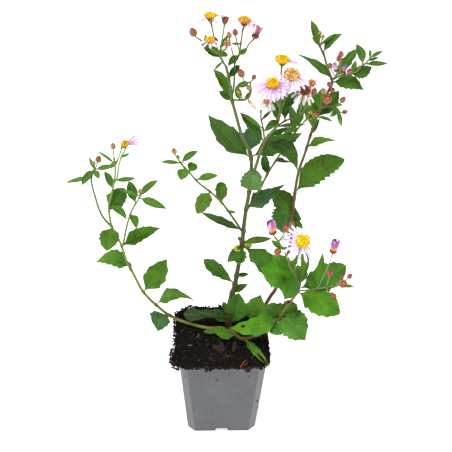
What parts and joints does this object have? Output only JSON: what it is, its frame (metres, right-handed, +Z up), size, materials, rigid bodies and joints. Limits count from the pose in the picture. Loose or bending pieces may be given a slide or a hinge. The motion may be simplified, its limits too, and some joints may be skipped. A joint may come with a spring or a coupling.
{
  "type": "potted aster plant",
  "caption": "Leafy aster with toothed leaves, buds and small lilac daisy blooms on four stems, growing in soil in a square tapered nursery pot.",
  "frame": {"origin": "middle of the pot's round foot, on the surface that the pot stands on", "axes": "+Z up, along the stems; the pot's front, which the blooms face, is towards -Y; +X is to the right seen from the front"},
  "size_m": [0.2818, 0.1282, 0.4314],
  "materials": {
    "pot": "satin moulded grey plastic, with faint flow marks and scuffs",
    "soil": "moist, crumbly peat potting soil with bark shreds",
    "stem": "living leaf and stem tissue, matt, with a faint sheen",
    "petals": "thin pale lilac ray florets",
    "spent_petals": "dry beige and brown ray florets",
    "disc": "packed yellow disc florets, velvety",
    "spent_disc": "faded orange-brown disc florets",
    "closed_petals": "furled purple-pink ray florets"
  },
  "bodies": {
    "root": {"pot": "pot", "soil": "soil", "stem_left": "stem", "stem_main": "stem", "stem_right": "stem", "stem_low": "stem", "petals_big": "petals", "disc_big": "disc", "petals_tan": "petals", "disc_tan": "spent_disc", "petals_gold": "petals", "disc_gold": "disc", "petals_far": "spent_petals", "disc_far": "spent_disc", "petals_brown": "spent_petals", "disc_brown": "spent_disc", "petals_hanging": "spent_petals", "disc_hanging": "spent_disc", "petals_left": "petals", "disc_left": "disc", "petals_crown": "petals", "disc_crown": "disc", "petals_crown_low": "petals", "disc_crown_low": "disc", "petals_crown_spent": "spent_petals", "disc_crown_spent": "spent_disc", "petals_crown_right": "petals", "disc_crown_right": "disc", "petals_low": "petals", "disc_low": "disc", "petals_crown_closed": "closed_petals", "petals_low_closed": "closed_petals", "petals_low_right_closed": "closed_petals", "petals_outer_closed": "closed_petals", "petals_outer_purple": "closed_petals"}
  },
  "joints": []
}
